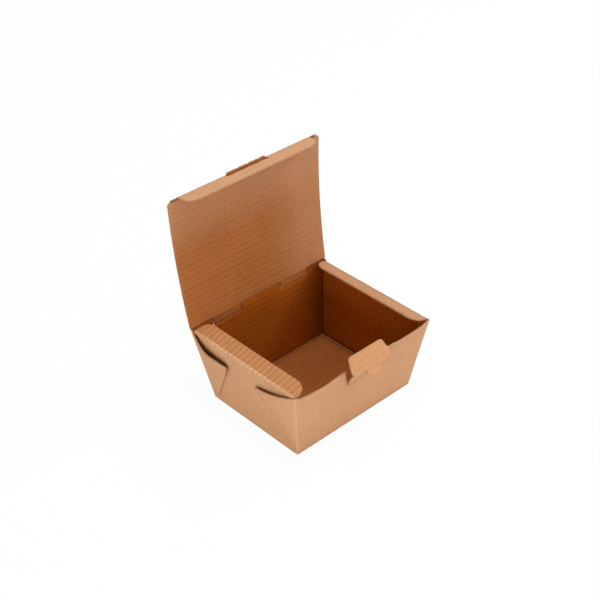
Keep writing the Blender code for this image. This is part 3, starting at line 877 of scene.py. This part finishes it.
def slot_strip():
    """Strip of lid board that stands past the fold in the slot, its upper edge a little ragged."""
    strip_half, strip_top, set_in, strip_thick = 18.2, 104.55, 0.12, 1.4
    x = np.linspace(-strip_half, strip_half, 74)
    bites = 0.25 * np.abs(np.sin(x * 0.31 + 1.0)) ** 6
    ragged = strip_top + 0.22 * np.sin(x * 1.9 + 0.4) * np.sin(x * 0.7) - bites
    low = lid_end - 1.0
    along = low + np.linspace(0.0, 1.0, 8)[:, None] * (ragged - low)
    narrow = 1 - 0.033 * np.clip((along - lid_end) / 3.0, 0, 1)
    points = lid_place(x * narrow, along, -set_in)
    return sheet(points, x, hinge_cross + along, (0, 1, 0), thick=strip_thick, ripple=(0.02, 0.02))


def lid_fold(end):
    """Outer liner over the fold of the lip on one side of the slot: a quarter circle about the lip's axis."""
    slot_side, fold_end, radius, paper_thick = 18.6, 67.4, 1.56, 0.08
    x = end * steps(slot_side, fold_end, 1.4)
    turn = np.linspace(-0.15, math.pi / 2, 12)
    grid_turn, grid_x = np.meshgrid(turn, x, indexing="ij")
    front = half_board - radius * np.cos(grid_turn)
    along = lid_length - half_board + radius * np.sin(grid_turn)
    points = lid_place(grid_x, along, front)
    return sheet(points, grid_x, radius * grid_turn, (0, 0.7, 0.7), thick=paper_thick, paper=OUTER, **bare_liner)


lid_boards = [lid_panel(), lid_stub(-1), lid_stub(1), slot_strip(), lid_fold(-1), lid_fold(1)]
lid = piece("lid_board", lid_boards, (outside, lid_inside, cut))
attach(lid, "lid")
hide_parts("lid")


# Lip: its half width at depths from the fold
lip_depths = (0.0, 0.25, 0.5, 1.9, lip_side_depth)
lip_halves = (67.2, 66.5, 61.1, 60.9, 60.2)


def lip_half(forward):
    """Half width of the lip: full at the fold, a neck beside the end flaps, then an elliptic round to its free edge."""
    beyond = np.clip((forward - lip_side_depth) / (lip_width - lip_side_depth), 0.0, 1.0)
    return np.interp(forward, lip_depths, lip_halves) - lip_round_length * elliptic(beyond)


def lip_panel():
    """The lip: a quarter circle about its axis where it folds, then flat to its free edge, with the slot left out.

    The edge of the slot is torn: lifted and sunk by two sines along it.
    """
    middle, lip_thick = 0.72, 1.44
    slot_half, slot_depth, column_half = 18.5, 3.2, 60.5
    turn = np.linspace(0.0, math.pi / 2, 7)
    side_depths = stations((board, 1.9, 0.4), (1.9, slot_depth, 0.62), (slot_depth, lip_side_depth, 0.62))
    round_depths = lip_side_depth + (lip_width - lip_side_depth) * np.sin(np.linspace(0, math.pi / 2, 19))[1:]
    flat = np.concatenate([side_depths, round_depths])
    forward = np.concatenate([np.linspace(0.0, board, 7)[:-1], flat])
    along = np.concatenate([middle * np.sin(turn)[:-1], np.full(len(flat), middle)])
    front = np.concatenate([-middle * np.cos(turn)[:-1], flat - board])
    fixed = int(np.argmin(np.abs(forward - slot_depth)))
    slot_share = slot_half / column_half
    columns = stations((-1.0, -slot_share, 0.03), (-slot_share, slot_share, 0.03), (slot_share, 1.0, 0.03))
    near = np.clip(np.abs(columns) - slot_share, 0.0, 1.0) / (1 - slot_share)
    inner = np.minimum(np.abs(columns), slot_share) * column_half
    x = np.sign(columns) * (inner + near * (lip_half(forward)[:, None] - slot_half))
    place = inner * np.sign(columns)
    torn = np.clip(0.45 + 0.3 * np.sin(0.55 * place + 1.0) + 0.15 * np.sin(1.9 * place), 0.0, 1.0)
    torn = torn * (near == 0) * ease((slot_half - 0.2 - inner) / 1.5)
    front = front[:, None] - torn * bell(forward[:, None] - slot_depth, 0.5)
    points = lid_place(x, lid_length - half_board + along[:, None], half_board + front)
    first, last = [int(np.argmin(np.abs(columns - edge))) for edge in (-slot_share, slot_share)]
    keep = np.ones((len(forward) - 1, len(columns) - 1), bool)
    keep[:fixed, first:last] = False
    length = np.concatenate([middle * turn[:-1], middle * turn[-1] + flat - board])
    cross = hinge_cross + lid_length + length[:, None]
    return sheet(points, x, cross, (0, 0, 1), keep=keep, thick=lip_thick)


lip = piece("lip_board", [lip_panel()], (outside, lid_inside, cut))
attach(lip, "lid_lip")
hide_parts("lid_lip")


# End flaps
def end_flap(end, relief):
    """An end flap: rows go inwards from its fold, columns run along it, and its free corners are quarter circles.

    Its upper liner has a washboard of the given relief, which follows the cosine of the distance along the fold.
    """
    middle_above_axis = 0.9
    round_start = flap_width - flap_round
    rounding = flap_round * np.sin(np.linspace(0, math.pi / 2, 24))
    inward = np.concatenate([steps(0.0, round_start, 0.5)[:-1], round_start + rounding])[:, None]
    cut_off = flap_round * elliptic(np.clip((inward - flap_width + flap_round) / flap_round, 0.0, 1.0))
    front_end, back_end = flap_front_end + cut_off, flap_back_end - cut_off
    y = front_end + (back_end - front_end) * steps(0.0, 1.0, 0.45 / 105.0)
    x = flap_axis_x - (inward * math.cos(flap_rise) - middle_above_axis * math.sin(flap_rise))
    z = flap_axis_z + inward * math.sin(flap_rise) + middle_above_axis * math.cos(flap_rise)
    points = np.stack(np.broadcast_arrays(end * x, y, z), axis=2)
    return sheet(points, rim_height + inward, y, (0, 0, 1), ripple=(relief, 0.05))


for end, body, top, relief in (
    (-1, "left_end_flap", shaded_washboard, 0.07),
    (1, "right_end_flap", shaded_right_flap, 0.05),
):
    name = body.replace("end_flap", "flap_board")
    flap = piece(name, [end_flap(end, relief)], (top, tray_inside, cut))
    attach(flap, body)
    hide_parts(body)


# Lock tab: its half width at heights above the crease
tab_heights = (0.0, 2.4, 5.6, tab_straight)
tab_halves = (tab_crease_half, 18.6, 18.0, 16.6)


def tab_sheet(up, half, columns):
    """A part of the lock tab at rest, from its crease: rows up along the tab, columns from side to side, both turned
    by its lean."""
    x = np.linspace(-1, 1, columns) * half[:, None]
    y = tab_crease_y + up[:, None] * math.sin(tab_lean)
    z = tab_crease_z + up[:, None] * math.cos(tab_lean)
    points = np.stack(np.broadcast_arrays(x, y, z), axis=2)
    return sheet(points, x, -up[:, None], (0, -1, 0.5), ripple=(0.03, 0.04))


def tab_panel():
    """The tab above its crease: half width from a table, with quarter circles at its free corners."""
    rounding = tab_round * np.sin(np.linspace(0, math.pi / 2, 14))
    up = np.concatenate([steps(-0.55, tab_straight, 0.45)[:-1], tab_straight + rounding])
    beyond = np.clip((up - tab_straight) / tab_round, 0.0, 1.0)
    return tab_sheet(up, np.interp(up, tab_heights, tab_halves) - tab_round * elliptic(beyond), 47)


def tab_tongue():
    """The tongue below the crease: a half ellipse, stopped just short of its tip."""
    turn = np.linspace(0.0, math.pi / 2 * 0.985, 20)
    return tab_sheet(-tongue_length * np.sin(turn), tongue_half * np.cos(turn), 19)


tab = piece("tab_board", [tab_panel(), tab_tongue()], (tab_outside, tray_inside, cut))
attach(tab, "lock_tab")
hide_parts("lock_tab")


# Studio: white floor and surroundings, soft lamps
def studio_floor():
    """A wide white floor, in metres, that brightens for the camera and keeps the box's shadow."""
    size, height = 3.0, -0.00012
    mesh = bpy.data.meshes.new("Studio floor")
    corners = [(-size, -size, height), (size, -size, height), (size, size, height), (-size, size, height)]
    mesh.from_pydata(corners, [], [(0, 1, 2, 3)])
    made = bpy.data.objects.new("Studio_floor", mesh)
    bpy.context.scene.collection.objects.link(made)
    material, tree, principled, add = shader("Studio white", 0.9)
    principled.inputs["Base Color"].default_value = (0.82, 0.82, 0.82, 1.0)
    glow = add("ShaderNodeEmission", Strength=1.0).outputs[0]
    seen = add("ShaderNodeLightPath").outputs["Is Camera Ray"]
    share = maths(add, "MULTIPLY", seen, 0.95)
    mix = add("ShaderNodeMixShader", n0=share, n1=principled.outputs[0], n2=glow)
    tree.links.new(mix.outputs[0], tree.nodes["Material Output"].inputs["Surface"])
    mesh.materials.append(material)


studio_floor()

world = bpy.data.worlds.new("Studio")
bpy.context.scene.world = world
world.use_nodes = True
nodes, links = world.node_tree.nodes, world.node_tree.links
sky = nodes["Background"]
sky.inputs["Color"].default_value = (1.0, 1.0, 1.0, 1.0)
ray = nodes.new("ShaderNodeLightPath")
level = nodes.new("ShaderNodeMapRange")
level.inputs["To Min"].default_value = 0.64
level.inputs["To Max"].default_value = 1.0
links.new(ray.outputs["Is Camera Ray"], level.inputs["Value"])
links.new(level.outputs[0], sky.inputs["Strength"])


def softbox(name, place, target, size, power):
    """A square area lamp at a place in metres, turned to face its target."""
    data = bpy.data.lights.new(name, "AREA")
    data.shape = "SQUARE"
    data.size = size
    data.energy = power
    made = bpy.data.objects.new(name, data)
    made.location = place
    made.rotation_euler = (Vector(place) - Vector(target)).to_track_quat("Z", "Y").to_euler()
    bpy.context.scene.collection.objects.link(made)


softbox("Left softbox", (-1.25, -0.75, 0.10), (0.0, 0.0, 0.06), 0.6, 12.0)
softbox("Front softbox", (0.1, -1.4, 0.12), (0.0, 0.0, 0.06), 0.6, 2.5)
softbox("Right softbox", (0.95, -0.2, 0.95), (0.0, 0.0, 0.05), 0.4, 6.0)
softbox("Top softbox", (0.0, -0.05, 1.4), (0.0, 0.0, 0.0), 0.4, 4.8)
